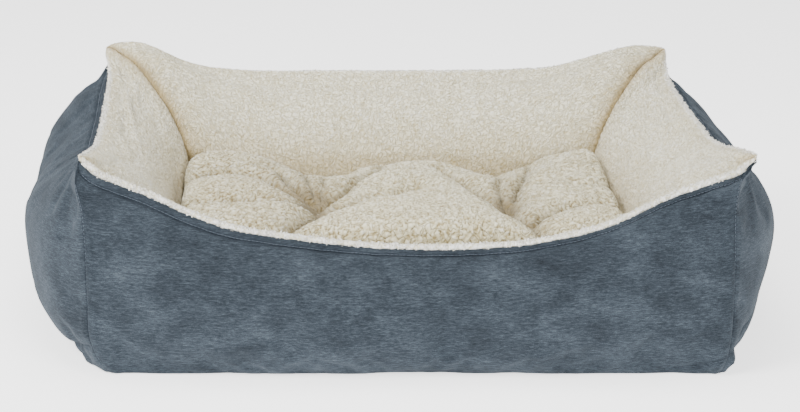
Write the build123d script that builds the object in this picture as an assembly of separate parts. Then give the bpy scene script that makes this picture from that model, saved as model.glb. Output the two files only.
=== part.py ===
from build123d import *
import math
import os

# Rectangular bolster bed for a pet: four stuffed bolsters in a chenille and sherpa
# cover, a loose tufted cushion in the well, and a zip in the back of the cover.
# Millimetres. +Z up, front is -Y, origin at the centre of the underside.

# Heights of the rim where the outer and inner panels are sewn together
TIP_Z = 253.0
FRONT_RIM_Z = 145.0
REAR_RIM_Z = 216.0
SIDE_RIM_Z = 210.0

# Well inside the bolsters
WELL_X = 266.0
WELL_Y = 165.0
WELL_SHOULDER_Z = 124.0
TIP_X = 380.0
TIP_Y = 286.0

# Fabric and clearances
CHENILLE = 1.5
SHERPA = 3.0
FILL_GAP = 0.5
BASE_CLOTH = 1.5
DECK_CLOTH = 2.0
CLOTH_GAP = 0.1
DECK_CLEAR = 0.2
SKIN_BOTTOM = BASE_CLOTH + CLOTH_GAP
INNER_DROP = 1.6  # a leaning wall drops this much for each millimetre of its thickness

# Outer form: height, corner x and y, middle x of a side, middle y of front and rear
OUTER_LEVELS = [
    (0.0, 350.0, 318.0, 418.0, 324.0, 324.0),
    (40.0, 365.0, 318.0, 446.0, 336.0, 336.0),
    (80.0, 366.0, 317.0, 455.0, 340.5, 339.0),
    (110.0, 367.0, 316.0, 456.0, 334.0, 340.0),
    (150.0, 370.0, 311.0, 450.0, 299.0, 334.0),
    (185.0, 373.0, 304.0, 434.0, 296.0, 322.0),
    (208.0, 376.0, 299.0, 404.0, 292.0, 302.0),
    (225.0, 378.0, 294.0, 380.0, 288.0, 288.0),
    (260.0, 382.0, 284.0, 368.0, 280.0, 278.0),
]
SECTIONS = [20.0 * step for step in range(16)]
FUNNEL_TOP = 400.0
WEDGE_LEVELS = (-5.0, 40.0, 100.0, 130.0, 165.0, 215.0, 260.0, 300.0)
WEDGE_INWARD = 70.0
WEDGE_OUTWARD = 200.0

# Rims as distance along the side and height, from the middle to one tip
FRONT_RIM = [(0.0, FRONT_RIM_Z), (150.0, 151.0), (240.0, 172.0), (310.0, 207.0), (355.0, 224.0)]
REAR_RIM = [(0.0, REAR_RIM_Z), (190.0, 218.0), (250.0, 226.0), (300.0, 242.0), (345.0, 251.0)]
SIDE_RIM = [(0.0, SIDE_RIM_Z), (110.0, 213.0), (170.0, 222.0), (235.0, 239.0), (265.0, 247.0)]
FRONT_RIM_Y = 302.0
REAR_RIM_Y = 296.0
SIDE_RIM_X = 384.0
RIM_OVERRUN = 1.1  # the cut for the well runs this far past the rim, so the rim is an edge

# Stitching
STITCH_BELOW_RIM = 11.0
STITCH_WIDTH = 1.6
STITCH_PROUD = 0.7
CORNER_SEAM = 3.0
SEAM_BOTTOM = SKIN_BOTTOM + CLOTH_GAP

# Cushion
CUSHION_CLEAR = 2.0
CUSHION_REST = 0.4
CUSHION_BOTTOM = SKIN_BOTTOM + DECK_CLOTH + CUSHION_REST
CUSHION_TOP = 134.0
CUSHION_SEAM_Z = 66.0
CUSHION_BOW = 8.0
CUSHION_X = WELL_X - CUSHION_CLEAR
CUSHION_Y = WELL_Y - CUSHION_CLEAR
TUFTS = [(-102.0, -3.0), (137.0, -16.0)]
TUFT_TOP_Z = 100.0
TUFT_BOTTOM_Z = 16.0
TUFT_MOUTH = 62.0
TUFT_FLAT = 8.0
TUFT_UNDER = 30.0
TUFT_OVERRUN = 4.0
TIE_RADIUS = 1.2
TIE_HOLE_RADIUS = 2.0
TACK_LENGTH = 12.0
TACK_WIDTH = 2.4
TACK_HEIGHT = 1.6
CUSHION_LEVELS = [
    (CUSHION_BOTTOM, CUSHION_X - 34, CUSHION_Y - 34),
    (24.0, CUSHION_X - 10, CUSHION_Y - 10),
    (CUSHION_SEAM_Z, CUSHION_X, CUSHION_Y),
    (104.0, CUSHION_X - 8, CUSHION_Y - 8),
    (CUSHION_TOP, CUSHION_X - 52, CUSHION_Y - 52),
]

# Zip in the back of the cover, leaning with the panel
ZIP_HALF = 150.0
ZIP_Y = 334.6
ZIP_Z = 38.0
ZIP_LEAN = -11.0
TAPE_EDGE = 14.8
TAPE_THICK = 0.8
CHAIN_GAP = 0.65
CHAIN_EDGE = 3.0
CHAIN_HALF_THICK = 1.1
STOP_LENGTH = 3.0
WINDOW_HALF = 15.0
WINDOW_END = ZIP_HALF + STOP_LENGTH + 2.0
WINDOW_DEPTH = 12.0
POCKET_DEPTH = 16.0
POCKET_MARGIN = 4.0
TAPE_CLEAR = 0.2
SLIDER_AT = -142.0
SLIDER_HALF = 5.5
SLIDER_WIDE = 4.6
PLATE_IN = 1.5
PLATE_OUT = 2.6
POST_START = 3.0
POST_SHORT = 0.5
POST_HALF = 0.3
GRIP_IN = 0.9
GRIP_CLEAR = 0.5
PULL_AXIS_N = 3.9
PULL_LENGTH = 26.0
PULL_BAR_RADIUS = 0.7
PULL_HALF_THICK = 0.6
PULL_ARM_IN = 1.6
PULL_ARM_OUT = 3.2
PULL_NECK = 5.5
PULL_HOLE_RADIUS = 1.5
PULL_HOLE_FROM_END = 4.5
CROWN_HALF = 4.2
CROWN_WIDE = 1.1
CROWN_IN = 5.0
CROWN_OUT = 6.0
CROWN_LEG = 1.0

# Solids that only cut others: wider than the bed, and as deep as each cut needs
CUT_X = 1200.0
CUT_Y = 1000.0
CUT_Z = 100.0
CUT_LONG = 600.0


def level_at(z):
    """Outer corner x and y, and the middle of each side, at any height."""
    last = len(OUTER_LEVELS) - 2
    i = next((k for k in range(last) if z <= OUTER_LEVELS[k + 1][0]), last)
    low, high = OUTER_LEVELS[i], OUTER_LEVELS[i + 1]
    share = min(1.0, max(0.0, (z - low[0]) / (high[0] - low[0])))
    return [a + (b - a) * share for a, b in zip(low[1:], high[1:])]


def outline(z, corner_x, corner_y, side_x, front_y, rear_y):
    """A horizontal face with four bowed sides between sharp corners."""
    left = Spline((-corner_x, -corner_y, z), (-side_x, 0, z), (-corner_x, corner_y, z))
    rear = Spline((-corner_x, corner_y, z), (0, rear_y, z), (corner_x, corner_y, z))
    right = Spline((corner_x, corner_y, z), (side_x, 0, z), (corner_x, -corner_y, z))
    front = Spline((corner_x, -corner_y, z), (0, -front_y, z), (-corner_x, -corner_y, z))
    return make_face([left, rear, right, front])


def below(z):
    """Everything under a height, to cut a form off flat."""
    return Pos(0, 0, z - CUT_Z / 2) * Box(CUT_X, CUT_Y, CUT_Z)


def outer_form(inset):
    """The bed's outer shape as a solid, inset by a fabric thickness, higher than the rim."""
    form = loft([outline(z, *[size - inset for size in level_at(z)]) for z in SECTIONS])
    return form - below(SKIN_BOTTOM)


def funnel_side(rim, rim_out, edge, tip, drop, turn):
    """The space above one bolster's inner face: a ruled solid from the well's edge to the rim.

    edge and tip are the corner of the well and the tip of the rim, as (along, out).
    """
    out = edge[1] + (rim_out - edge[1]) * RIM_OVERRUN
    low_z = WELL_SHOULDER_Z - drop
    reach = (out - edge[1]) / (tip[1] - edge[1])
    corner = (edge[0] + (tip[0] - edge[0]) * reach, low_z + (TIP_Z - WELL_SHOULDER_Z) * reach)
    spread = RIM_OVERRUN / (1 + (RIM_OVERRUN - 1) * edge[0] / corner[0])
    half = [(a * spread, low_z + (z - WELL_SHOULDER_Z) * RIM_OVERRUN) for a, z in rim]
    half.append(corner)
    full = [(-a, z) for a, z in reversed(half[1:])] + half
    near = [(-edge[0], low_z), (0, low_z), (edge[0], low_z)]
    faces = []
    for y, line in ((-edge[1], near), (-out, full)):
        points = [(a, y, z) for a, z in line]
        first, last = points[0], points[-1]
        sides = Polyline(first, (first[0], y, FUNNEL_TOP), (last[0], y, FUNNEL_TOP), last)
        faces.append(make_face([sides, Spline(*points)]))
    return Rot(0, 0, turn) * loft(faces, ruled=True)


def well_space(inset, drop=None):
    """Everything inside and above the inner faces, let out by a fabric thickness."""
    drop = INNER_DROP * inset if drop is None else drop
    x, y = WELL_X + inset, WELL_Y + inset
    space = Pos(0, 0, FUNNEL_TOP / 2) * Box(2 * x, 2 * y, FUNNEL_TOP)
    for turn, rim, rim_y in ((0, FRONT_RIM, FRONT_RIM_Y), (180, REAR_RIM, REAR_RIM_Y)):
        space += funnel_side(rim, rim_y, (x, y), (TIP_X, TIP_Y), drop, turn)
    for turn in (90, -90):
        space += funnel_side(SIDE_RIM, SIDE_RIM_X, (y, x), (TIP_Y, TIP_X), drop, turn)
    return space


def wedge(turn, along_first):
    """The mitred share of the surround that belongs to one bolster, between its corner seams."""
    faces = []
    for z in WEDGE_LEVELS:
        share = max(0.0, (z - WELL_SHOULDER_Z) / (TIP_Z - WELL_SHOULDER_Z))
        inner = [WELL_X + (TIP_X - WELL_X) * share, WELL_Y + (TIP_Y - WELL_Y) * share]
        outer = level_at(z)[:2]
        way = [o - i for o, i in zip(outer, inner)]
        size = math.hypot(*way)
        near = [i - w / size * WEDGE_INWARD for i, w in zip(inner, way)]
        far = [o + w / size * WEDGE_OUTWARD for o, w in zip(outer, way)]
        if not along_first:
            near.reverse()
            far.reverse()
        faces.append(make_face(Polyline((-near[0], -near[1], z), (near[0], -near[1], z),
                                        (far[0], -far[1], z), (-far[0], -far[1], z), close=True)))
    return Rot(0, 0, turn) * loft(faces, ruled=True)


def zip_place(along=0.0, height=0.0, out=0.0):
    """A place on the leaning plane of the zip: along it, up it, and out from it."""
    return Pos(0, ZIP_Y, ZIP_Z) * Rot(ZIP_LEAN, 0, 0) * Pos(along, out, height)


def zip_block(low, high):
    """A box on the zip's plane between two corners, each as along, out and up."""
    middle = [(a + b) / 2 for a, b in zip(low, high)]
    size = [b - a for a, b in zip(low, high)]
    return zip_place(middle[0], middle[2], middle[1]) * Box(*size)


def cushion_form(inset):
    """The tufted cushion's shape, inset by a fabric thickness."""
    faces = []
    for z, x, y in CUSHION_LEVELS:
        height = min(max(z, CUSHION_BOTTOM + inset), CUSHION_TOP - inset)
        bow = CUSHION_BOW
        x, y = x - inset, y - inset
        faces.append(outline(height, x - bow, y - bow, x, y, y))
    form = loft(faces)
    tip, brim = TUFT_TOP_Z - inset, CUSHION_TOP + TUFT_OVERRUN
    under = TUFT_BOTTOM_Z + inset
    for x, y in TUFTS:
        mouth = Cone(TUFT_FLAT + inset, TUFT_MOUTH + inset, brim - tip)
        form -= Pos(x, y, (tip + brim) / 2) * mouth
        form -= Pos(x, y, under / 2) * Cone(TUFT_UNDER + inset, TUFT_FLAT + inset, under)
    return form


def pierced(solid):
    """A layer of the cushion with a hole for each tie."""
    for x, y in TUFTS:
        solid -= Pos(x, y, 0) * Cylinder(TIE_HOLE_RADIUS, CUT_LONG)
    return solid


def slider_body():
    """Zip slider: a front and a back plate joined by a post, gripping edges, and a crown."""
    half, wide = SLIDER_HALF, SLIDER_WIDE
    body = zip_block((SLIDER_AT + POST_START, -PLATE_IN, -POST_HALF),
                     (SLIDER_AT + half - POST_SHORT, PLATE_IN, POST_HALF))
    for way in (-1, 1):
        plate = sorted((way * PLATE_IN, way * PLATE_OUT))
        body += zip_block((SLIDER_AT - half, plate[0], -wide), (SLIDER_AT + half, plate[1], wide))
        for up in (-1, 1):
            grip = sorted((way * GRIP_IN, way * PLATE_IN))
            edge = sorted((up * (CHAIN_EDGE + GRIP_CLEAR), up * wide))
            body += zip_block((SLIDER_AT - half, grip[0], edge[0]),
                              (SLIDER_AT + half, grip[1], edge[1]))
    body += zip_block((SLIDER_AT - CROWN_HALF, CROWN_IN, -CROWN_WIDE),
                      (SLIDER_AT + CROWN_HALF, CROWN_OUT, CROWN_WIDE))
    for end in (-1, 1):
        leg = sorted((end * (CROWN_HALF - CROWN_LEG), end * CROWN_HALF))
        body += zip_block((SLIDER_AT + leg[0], PLATE_OUT, -CROWN_WIDE),
                          (SLIDER_AT + leg[1], CROWN_IN, CROWN_WIDE))
    return body


def pull_tab():
    """Zip pull: a bar under the slider's crown, two arms and a tapering tab with a hole."""
    tab = zip_place(SLIDER_AT, 0, PULL_AXIS_N) * Cylinder(PULL_BAR_RADIUS, 2 * PULL_ARM_OUT)
    low, high = PULL_AXIS_N - PULL_HALF_THICK, PULL_AXIS_N + PULL_HALF_THICK
    for up in (-1, 1):
        arm = sorted((up * PULL_ARM_IN, up * PULL_ARM_OUT))
        tab += zip_block((SLIDER_AT, low, arm[0]), (SLIDER_AT + PULL_NECK + 1, high, arm[1]))
    tab += zip_block((SLIDER_AT + PULL_NECK, low, -PULL_ARM_OUT),
                     (SLIDER_AT + PULL_LENGTH, high, PULL_ARM_OUT))
    hole = Rot(90, 0, 0) * Cylinder(PULL_HOLE_RADIUS, PULL_LENGTH)
    return tab - zip_place(SLIDER_AT + PULL_LENGTH - PULL_HOLE_FROM_END, 0, PULL_AXIS_N) * hole


def save(node, solid):
    """Write one sub-part."""
    solid.label = node
    export_step(solid, f"parts/{node}.step")


os.makedirs("parts", exist_ok=True)

SIDES = {
    "front": wedge(0, True),
    "rear": wedge(180, True),
    "left": wedge(-90, False),
    "right": wedge(90, False),
}
zip_window = zip_block((-WINDOW_END, -WINDOW_DEPTH, -WINDOW_HALF),
                       (WINDOW_END, WINDOW_DEPTH, WINDOW_HALF))
pocket_end, pocket_half = WINDOW_END + POCKET_MARGIN, WINDOW_HALF + POCKET_MARGIN
zip_pocket = zip_block((-pocket_end, -POCKET_DEPTH, -pocket_half),
                       (pocket_end, POCKET_DEPTH, pocket_half))

# Bolsters: chenille outside, sherpa inside, fibre fill between, sewn at the rim and corners
well = well_space(0)
outer_skin = outer_form(0) - outer_form(CHENILLE) - well
inner_skin = (outer_form(CHENILLE + CLOTH_GAP) & well_space(SHERPA)) - well
filling = outer_form(CHENILLE + FILL_GAP) - well_space(SHERPA + FILL_GAP) - zip_pocket
for side, share in SIDES.items():
    outer_panel = outer_skin & share
    if side == "rear":
        outer_panel -= zip_window
    save(f"{side}_outer_panel", outer_panel)
    save(f"{side}_inner_panel", inner_skin & share)
    save(f"{side}_bolster_fill", filling & share)

# Stitching: a row below the rim all round, and a bead down each corner seam
proud = outer_form(-STITCH_PROUD) - outer_form(0)
stitch_top = well_space(0, STITCH_BELOW_RIM)
stitch_low = well_space(0, STITCH_BELOW_RIM + STITCH_WIDTH)
rows = [((proud & share) - stitch_top) & stitch_low for share in SIDES.values()]
save("rim_topstitching", Compound([solid for row in rows for solid in row.solids()]))
beads = []
for x_way in (-1, 1):
    for y_way in (-1, 1):
        posts = []
        for z in SECTIONS:
            corner_x, corner_y, *middles = level_at(z)
            place = Pos(x_way * corner_x, y_way * corner_y, z)
            posts.append(place * Rectangle(CORNER_SEAM, CORNER_SEAM))
        beads.append(loft(posts) - outer_form(0) - stitch_low)
save("corner_seam_stitching", Compound(beads) - below(SEAM_BOTTOM))

# Floor: the non-slip base cloth, and the lining that the cushion lies on
base_edge = OUTER_LEVELS[0][1:]
save("non_slip_base", extrude(outline(0, *base_edge), BASE_CLOTH))
deck = Box(2 * (WELL_X - DECK_CLEAR), 2 * (WELL_Y - DECK_CLEAR), DECK_CLOTH)
save("deck_lining", Pos(0, 0, SKIN_BOTTOM + DECK_CLOTH / 2) * deck)

# Cushion: two sherpa panels sewn round the edge, a fibre pad, and two ties drawn through it
cover = pierced(cushion_form(0) - cushion_form(SHERPA))
save("cushion_top_panel", cover - below(CUSHION_SEAM_Z))
save("cushion_bottom_panel", cover & below(CUSHION_SEAM_Z))
save("cushion_fill", pierced(cushion_form(SHERPA + FILL_GAP)))
ties = []
length = TUFT_TOP_Z - TUFT_BOTTOM_Z
for x, y in TUFTS:
    tie = Pos(x, y, TUFT_BOTTOM_Z + length / 2) * Cylinder(TIE_RADIUS, length)
    for z in (TUFT_TOP_Z + TACK_HEIGHT / 2, TUFT_BOTTOM_Z - TACK_HEIGHT / 2):
        tie += Pos(x, y, z) * Box(TACK_LENGTH, TACK_WIDTH, TACK_HEIGHT)
    ties.append(tie)
save("tuft_ties", Compound(ties))

# Zip: two tapes, the two halves of the coil, its stops, the slider and its pull
tape_end = WINDOW_END - TAPE_CLEAR
for name, up in (("upper", 1), ("lower", -1)):
    tape = sorted((up * CHAIN_EDGE, up * TAPE_EDGE))
    save(f"zip_tape_{name}", zip_block((-tape_end, -TAPE_THICK / 2, tape[0]),
                                       (tape_end, TAPE_THICK / 2, tape[1])))
    coil = sorted((up * CHAIN_GAP, up * CHAIN_EDGE))
    save(f"zip_coil_{name}", zip_block((-ZIP_HALF, -CHAIN_HALF_THICK, coil[0]),
                                       (ZIP_HALF, CHAIN_HALF_THICK, coil[1])))
closed_end = -ZIP_HALF - STOP_LENGTH
top_stops = []
for up in (-1, 1):
    edge = sorted((up * CHAIN_GAP, up * CHAIN_EDGE))
    top_stops.append(zip_block((closed_end, -CHAIN_HALF_THICK, edge[0]),
                               (-ZIP_HALF, CHAIN_HALF_THICK, edge[1])))
save("zip_top_stops", Compound(top_stops))
save("zip_bottom_stop", zip_block((ZIP_HALF, -CHAIN_HALF_THICK, -CHAIN_EDGE),
                                  (ZIP_HALF + STOP_LENGTH, CHAIN_HALF_THICK, CHAIN_EDGE)))
save("zip_slider", slider_body())
save("zip_pull", pull_tab())
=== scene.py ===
import bpy
import math
import numpy as np
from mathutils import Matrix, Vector


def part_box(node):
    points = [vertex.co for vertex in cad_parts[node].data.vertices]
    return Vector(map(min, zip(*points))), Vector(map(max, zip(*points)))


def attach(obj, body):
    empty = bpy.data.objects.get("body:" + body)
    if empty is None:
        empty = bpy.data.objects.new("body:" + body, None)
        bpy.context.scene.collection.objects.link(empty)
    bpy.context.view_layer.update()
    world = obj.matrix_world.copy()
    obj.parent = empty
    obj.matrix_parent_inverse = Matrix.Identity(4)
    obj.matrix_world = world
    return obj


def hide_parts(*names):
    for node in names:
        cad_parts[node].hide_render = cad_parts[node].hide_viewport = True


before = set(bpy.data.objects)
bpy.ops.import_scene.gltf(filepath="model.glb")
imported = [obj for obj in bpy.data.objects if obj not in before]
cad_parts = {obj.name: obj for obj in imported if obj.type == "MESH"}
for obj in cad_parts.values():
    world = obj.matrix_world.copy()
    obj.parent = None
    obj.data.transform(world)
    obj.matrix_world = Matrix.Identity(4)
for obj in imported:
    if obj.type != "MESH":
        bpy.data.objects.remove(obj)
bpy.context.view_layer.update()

# A rectangular bolster bed for a pet: chenille outside, sherpa inside, a loose tufted
# cushion in the well. Shapes are worked out in millimetres and built in metres.
MM = 0.001

# ---------------------------------------------------------------- driving dimensions
# Corner seams of the chenille, as x, y and height, from the base to the tip of the corner
CORNER_SEAMS = {
    "front_left": [(-345, -311, 0), (-359, -317, 18), (-368, -318, 40), (-371, -317, 88),
                   (-373, -313, 150), (-377, -305, 194), (-384, -296, 225), (-380, -285, 246)],
    "front_right": [(349, -311, 0), (354, -317, 18), (357, -318, 40), (358, -317, 88),
                    (357, -313, 150), (357, -304, 194), (363, -296, 225), (380, -286, 246)],
    "rear_left": [(-348, 315, 0), (-360, 318, 18), (-368, 318, 40), (-371, 316, 88),
                  (-373, 311, 150), (-374, 304, 194), (-377, 295, 227), (-375, 286, 250)],
    "rear_right": [(348, 315, 0), (360, 318, 18), (368, 318, 40), (371, 316, 88),
                   (373, 311, 150), (374, 304, 194), (377, 295, 225), (376, 286, 246)],
}

# Middle of each outer panel, as distance out and height, from the base to the rim
OUTER_MIDDLE = {
    "front": [(312, 0), (328, 15), (335, 38), (339, 70), (335, 100), (323, 124), (312, 137), (303, 145)],
    "rear": [(316, 0), (328, 15), (336, 40), (339, 90), (336, 140), (324, 178), (305, 202), (290, 210)],
    "left": [(414, 0), (440, 20), (455, 60), (460, 100), (456, 142), (432, 176), (400, 200), (378, 204)],
    "right": [(404, 0), (421, 20), (433, 60), (446, 100), (443, 142), (423, 176), (397, 200), (378, 204)],
}

# Middle of each inner panel below its rolled edge, as distance out and height, down to the deck
INNER_MIDDLE = {
    "front": [(290, 141), (266, 131), (238, 117), (210, 99), (190, 80), (177, 62), (168, 35), (166, 4)],
    "rear": [(276, 207), (251, 198), (223, 182), (201, 160), (186, 140), (175, 118), (167, 66), (166, 4)],
    "side": [(364, 203), (345, 194), (322, 178), (303, 157), (288, 133), (278, 108), (268, 56), (266, 4)],
}
INNER_CORNER = {
    "front": [(371, 277, 231), (352, 262, 213), (334, 245, 194), (314, 225, 172),
              (298, 205, 150), (284, 188, 128), (269, 168, 62), (266, 166, 4)],
    "rear": [(371, 277, 245), (345, 250, 234), (322, 226, 212), (301, 202, 186),
             (287, 186, 160), (280, 176, 136), (269, 168, 62), (266, 166, 4)],
}

# Height of the seam between chenille and sherpa, along x for front and rear, along y for the sides
RIM = {
    "front": [(-382, 246), (-366, 230), (-345, 221), (-308, 208), (-262, 187), (-210, 169), (-139, 157.5),
              (-52, 148), (40, 146), (144, 154), (227, 176), (283, 203), (339, 222), (366, 231), (382, 246)],
    "rear": [(-378, 250), (-366, 251), (-348, 254), (-326, 250), (-285, 233), (-250, 222), (-200, 216),
             (-60, 214), (80, 214), (180, 216), (229, 220), (272, 232), (322, 246), (345, 249),
             (362, 247), (378, 246)],
    "left": [(-290, 246), (-274, 241), (-235, 233), (-190, 224), (-142, 214), (-78, 203), (-7, 197),
             (54, 198), (117, 203), (179, 212), (210, 215), (240, 219), (260, 224), (272, 234), (281, 246),
             (286, 250), (290, 251)],
    "right": [(-290, 246), (-274, 243), (-235, 237), (-167, 223), (-122, 215), (-72, 208), (0, 207),
              (68, 209), (143, 210), (208, 214), (240, 218), (260, 223), (272, 231), (281, 242), (286, 246),
              (290, 247)],
}
TIP_HEIGHT = 246.0
SQUARENESS = {"front": (4.0, 4.0), "rear": (4.0, 4.0), "left": (11.0, 3.2), "right": (2.6, 9.0)}
INNER_SQUARENESS = 3.6

# Rolled sherpa edge, as distance out from the seam and height above it
ROLLED_EDGE = [(-3.0, -4.5), (1.4, 0.8), (-2.0, 4.5), (-7.5, 3.0)]
TIP_ROLL = {"front_left": 1.0, "front_right": 2.0, "rear_left": 8.0, "rear_right": 5.0}
TIP_DIAGONAL = 0.75
HEM = 10.0
CHENILLE = 1.4
SHERPA = 3.0

# Size of the sherpa's curls and how far they stand up
WALL_CURL, WALL_PILE = 5.0, 1.7
CUSHION_CURL, CUSHION_PILE = 6.8, 3.8
EDGE_CURL, EDGE_PILE = 7.5, 2.4

# Puffed ends of the sherpa walls beside the inner corner seams, and loose tufts along the rim
PUFF, PUFF_NEAR, PUFF_FAR = 13.0, 11.0, 60.0
TUFT_COUNT = {"front": 1500, "rear": 600, "side": 1000}
TUFT_LENGTH = {"front": 2.4, "rear": 1.6, "side": 2.4}
TUFT_THICK = 1.3
TUFT_BAND = (3.5, 13.0)
# Rings of a tuft, each as share of its length, bend, width and how light its wool is, painted darker at the
# root and lighter at the tip
TUFT_RINGS = ((-0.4, 0.0, 0.8, 0.8), (0.35, 0.15, 1.0, 1.1), (0.75, 0.45, 0.85, 1.3), (1.0, 0.85, 0.35, 1.4))
TUFT_SIDES = 5

# Rows and columns of each cloth's fine grid; the back of sherpa takes BACK_STEP of them at a time
PANEL_ROWS, PANEL_COLUMNS = 97, {"front": 253, "rear": 253, "side": 217}
WALL_ROWS, WALL_COLUMNS = 121, {"front": 401, "rear": 401, "side": 321}
CUSHION_GRID = (237, 365)
UNDER_GRID = (161, 241)
BACK_STEP = 4
# Coarse grids that settle as cloth: their rows, and how many fine columns make one of theirs
COARSE_ROWS, PANEL_STEP, WALL_STEP = 25, 4, 10
CUSHION_COARSE = (89, 137)
# Rows and columns of the fillings' grids
FILL_GRID, CUSHION_FILL_GRID = (30, 61), (41, 61)

# Filling, threads, base, deck and zip
FILL_INSET = 10.0
UNDER_PILE = 2.0
UNDER_DIMPLE = 12.0
DECK_TOP = 3.6
STITCH = 3.4
STITCH_GAP = 1.1
STITCH_LIFT = 0.55
THREAD_RADIUS = 0.42
# Three twisted strands tie each tuft, with a tack of four threads over and one under the cushion;
# TACK_MIDDLE is a height between the two tacks
TIE_RADIUS, TIE_TWIST, TIE_PITCH = 0.55, 0.7, 6.0
TACK_OVER, TACK_UNDER, TACK_MIDDLE = 2.4, 1.2, 60.0
TACK_HALF, TACK_ROWS = 5.0, (-1.2, -0.4, 0.4, 1.2)
BASE_INSET = 3.0
BASE_DOTS = 0.7
BASE_CLOTH_THICK = 0.9
BASE_RINGS = 24
DOT_PITCH = 15.0
DOT_RADIUS = 2.4
DOT_MARGIN = 12.0
DOT_ROWS, DOT_COLUMNS = 40, 60
ZIP_LEAN = -11.0
ZIP_COVER = 2.0
ZIP_OPENING = 5.4
ZIP_STITCHED = 8.6
COIL_PITCH = 1.5
COIL_WIDTH = 2.35
COIL_WIRE = 0.36
COIL_HALF_THICK = 1.1

# Creases in the chenille, each as depth, width and its line as distance along the side and height; the depth
# also sets painted shade along the line
CREASES = {
    "front": [(3.0, 5, [(-373, 207), (-352, 201), (-322, 204)]), (2.0, 5, [(-374, 190), (-358, 184)]),
              (3.0, 6, [(358, 194), (338, 201), (312, 204)]), (-5.0, 12, [(350, 12), (338, 16)]),
              (3.0, 3.5, [(296, 7), (328, 12), (354, 24)])],
    "right": [(3.5, 6, [(-312, 194), (-292, 203), (-258, 208)]), (-7.0, 12, [(-310, 14), (-298, 18)]),
              (5.0, 5, [(-318, 28), (-290, 34), (-262, 48)])],
    "rear": [(2.5, 5, [(-372, 205), (-350, 199)]), (2.5, 5, [(372, 205), (348, 200)])],
    "left": [(3.0, 6, [(306, 196), (284, 204), (256, 206)]), (-5.0, 10, [(300, 9), (272, 6)]),
             (5.5, 5, [(318, 33), (285, 24), (250, 14), (205, 3)])],
}

# Cushion, its seam and its two tufts
CUSHION_X = 264.0
CUSHION_Y = 162.0
CUSHION_FLARE = 0.042
SHOULDER = 8.0
CUSHION_SEAM = 66.0
CUSHION_TOP = 133.0
CUSHION_BOTTOM = 4.2
CUSHION_CROWN = 6.0
TUFTS = [(-102.0, -3.0), (137.0, -16.0)]
DIMPLE_DEPTH = 34.0
DIMPLE_REACH = 30.0
DIMPLE_AHEAD = 0.6
FOLD_JOIN = 2.5
# Painted shade along the cushion's folds: the fold depth that paints full shade, how wide it lies beside a
# fold, and how far it reaches from a tuft.
CREASE_SHADE_FULL, CREASE_SHADE_WIDTH, CREASE_SHADE_REACH = 30.0, 10.0, 16.0
SUNK_MOST, HELD_FROM = 72.0, 22.0
# How far the cushion's back edge is drawn down, along x
BACK_EDGE = [(-280, -8), (-250, -9), (-215, -5), (-180, -1), (-141, 16), (-100, 30), (-60, 30), (-41, 20),
             (4, 10), (55, 12), (98, 24), (130, 31), (152, 28), (180, 13), (213, 1), (244, -11), (264, -22),
             (280, -24)]
BACK_FROM = 10.0

# Folds in the top of the cushion, each as depth, width and its line from a tuft or an edge
FOLDS = [
    (30, 11, [(-262, 70), (-226, 72), (-190, 62), (-158, 34), (-128, 0)]),
    (30, 11, [(-266, -52), (-236, -52), (-200, -50), (-160, -54), (-124, -40)]),
    (20, 8, [(-156, 96), (-138, 42), (-112, 4)]),
    (15, 8, [(-120, 170), (-112, 80), (-104, 10)]),
    (14, 8, [(-82, 170), (-90, 70), (-98, 10)]),
    (25, 13, [(-8, 146), (-32, 92), (-66, 26), (-94, -8)]),
    (26, 12, [(20, 4), (-24, -30), (-62, -54), (-92, -66)]),
    (26, 16, [(-106, -20), (-106, -84), (-120, -118), (-150, -160)]),
    (25, 10, [(60, 116), (86, 46), (112, -20), (128, -60)]),
    (19, 7, [(142, 170), (136, 80), (130, 20), (132, -20)]),
    (20, 9, [(182, 150), (166, 60), (148, 4)]),
    (26, 13, [(134, -30), (136, -84), (150, -120), (160, -160)]),
    (26, 11, [(290, -54), (248, -56), (204, -74), (156, -112)]),
    (7, 8, [(268, 34), (240, 14), (222, 16)]),
]

SIDES = ("front", "rear", "left", "right")

# Camera: its place, its tilt up from straight down, its lens and its sideways shift
CAMERA_PLACE, CAMERA_TILT = (-0.19, -2.669, 0.884), 73.8
CAMERA_LENS, CAMERA_SHIFT = 99.0, 0.19

# Area lights, each as name, place, size and power; what they point at; the sky; the floor, in mm
LIGHTS = [("key", (-2.2, -1.5, 2.3), 1.4, 130.0), ("top", (-0.2, 0.3, 2.8), 1.8, 60.0),
          ("fill", (1.2, -2.2, 1.5), 2.0, 40.0)]
LIT_POINT = (0, 0, 0.12)
SKY_POWER = 0.5
FLOOR_HALF = 9000


# ---------------------------------------------------------------- small mathematics
def smooth(knots, share):
    """Points on a smooth curve through the knots, at shares of its length from 0 to 1."""
    knots = np.asarray(knots, float)
    steps = np.linalg.norm(np.diff(knots, axis=0), axis=1)
    at = np.concatenate([[0], np.cumsum(steps)]) / steps.sum()
    return hermite(at, knots, share)


def level(knots, along):
    """Height of a smooth line, given as (along, height) knots, at any place along it."""
    knots = np.asarray(knots, float)
    return hermite(knots[:, 0], knots[:, 1:], along)[:, 0]


def hermite(at, values, where):
    """Cubic interpolation of values known at rising places."""
    where = np.clip(np.asarray(where, float).ravel(), at[0], at[-1])
    slope = np.gradient(values, at, axis=0)
    i = np.clip(np.searchsorted(at, where, side="right") - 1, 0, len(at) - 2)
    width = at[i + 1] - at[i]
    t = ((where - at[i]) / width)[:, None]
    width = width[:, None]
    return (values[i] * (1 + 2 * t) * (1 - t) ** 2 + slope[i] * width * t * (1 - t) ** 2
            + values[i + 1] * t * t * (3 - 2 * t) + slope[i + 1] * width * t * t * (t - 1))


def random_at(cell_x, cell_y, seed):
    """A steady pseudo-random number from 0 to 1 for each whole-numbered cell."""
    mixed = np.sin(cell_x * 127.1 + cell_y * 311.7 + seed * 74.7) * 43758.5453
    return mixed - np.floor(mixed)


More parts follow.
